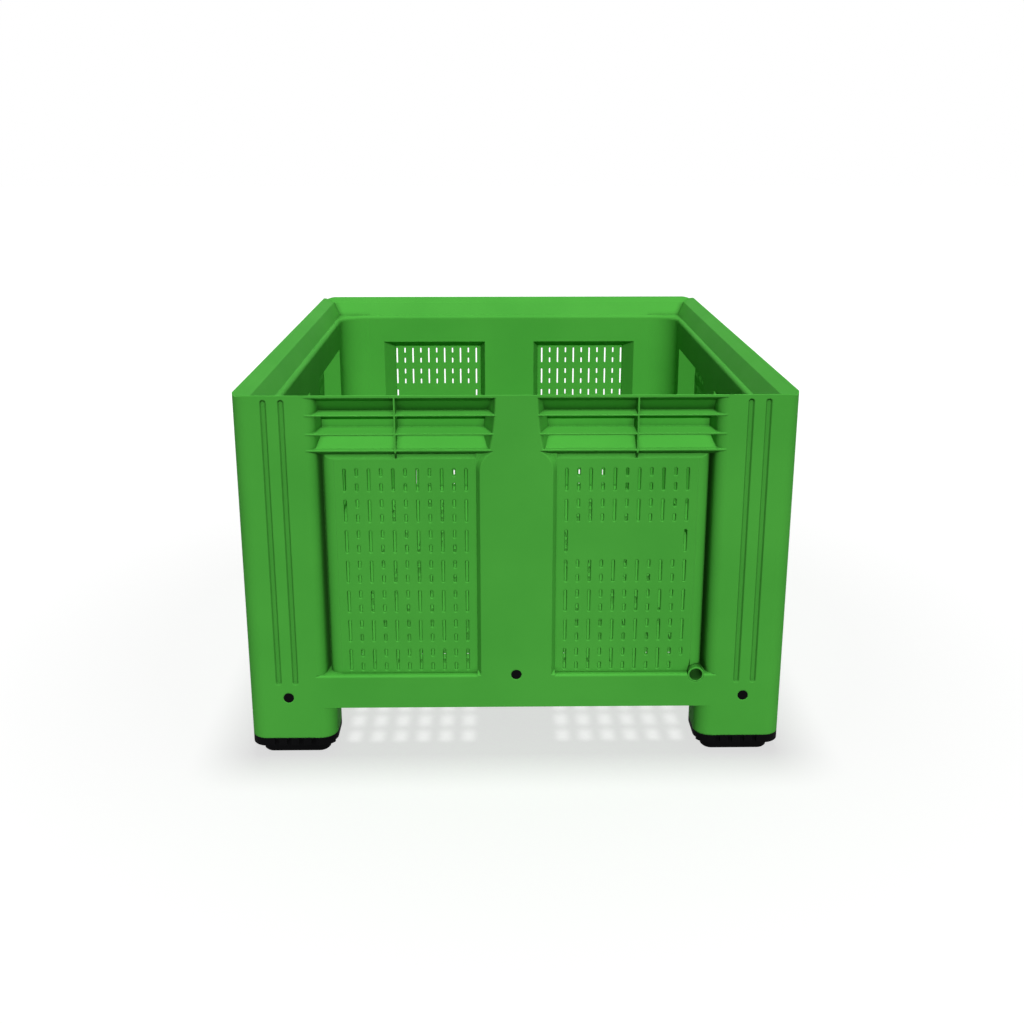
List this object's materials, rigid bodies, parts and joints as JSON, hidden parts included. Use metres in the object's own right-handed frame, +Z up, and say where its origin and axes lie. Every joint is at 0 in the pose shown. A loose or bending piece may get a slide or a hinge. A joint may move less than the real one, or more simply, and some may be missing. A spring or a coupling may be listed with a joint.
{
  "type": "vented pallet box",
  "caption": "Open-topped green plastic pallet box with slotted walls and deck, flared ribbed rim, corner posts on black pinned feet, and a drain tube low in the front wall.",
  "frame": {"origin": "on the floor under the middle of the box", "axes": "+Z up, Y along the long walls, the front wall with the drain tube faces -Y"},
  "size_m": [1, 1.2, 0.7],
  "materials": {
    "green_plastic": "satin moulded polyethylene",
    "black_plastic": "matt moulded plastic"
  },
  "bodies": {
    "root": {"back_left_corner_post": "green_plastic", "back_left_foot": "black_plastic", "back_left_foot_pin_1": "black_plastic", "back_left_foot_pin_2": "black_plastic", "back_left_leg": "green_plastic", "back_right_corner_post": "green_plastic", "back_right_foot": "black_plastic", "back_right_foot_pin_1": "black_plastic", "back_right_foot_pin_2": "black_plastic", "back_right_leg": "green_plastic", "back_wall": "green_plastic", "back_wall_centre_plug": "black_plastic", "back_wall_vent_panel_left": "green_plastic", "back_wall_vent_panel_right": "green_plastic", "drain_tube": "green_plastic", "front_left_corner_post": "green_plastic", "front_left_foot": "black_plastic", "front_left_foot_pin_1": "black_plastic", "front_left_foot_pin_2": "black_plastic", "front_left_leg": "green_plastic", "front_right_corner_post": "green_plastic", "front_right_foot": "black_plastic", "front_right_foot_pin_1": "black_plastic", "front_right_foot_pin_2": "black_plastic", "front_right_leg": "green_plastic", "front_wall": "green_plastic", "front_wall_centre_plug": "black_plastic", "front_wall_vent_panel_left": "green_plastic", "front_wall_vent_panel_right": "green_plastic", "left_wall": "green_plastic", "left_wall_centre_plug": "black_plastic", "left_wall_vent_panel_left": "green_plastic", "left_wall_vent_panel_right": "green_plastic", "right_wall": "green_plastic", "right_wall_centre_plug": "black_plastic", "right_wall_vent_panel_left": "green_plastic", "right_wall_vent_panel_right": "green_plastic", "vented_deck": "green_plastic"}
  },
  "joints": []
}
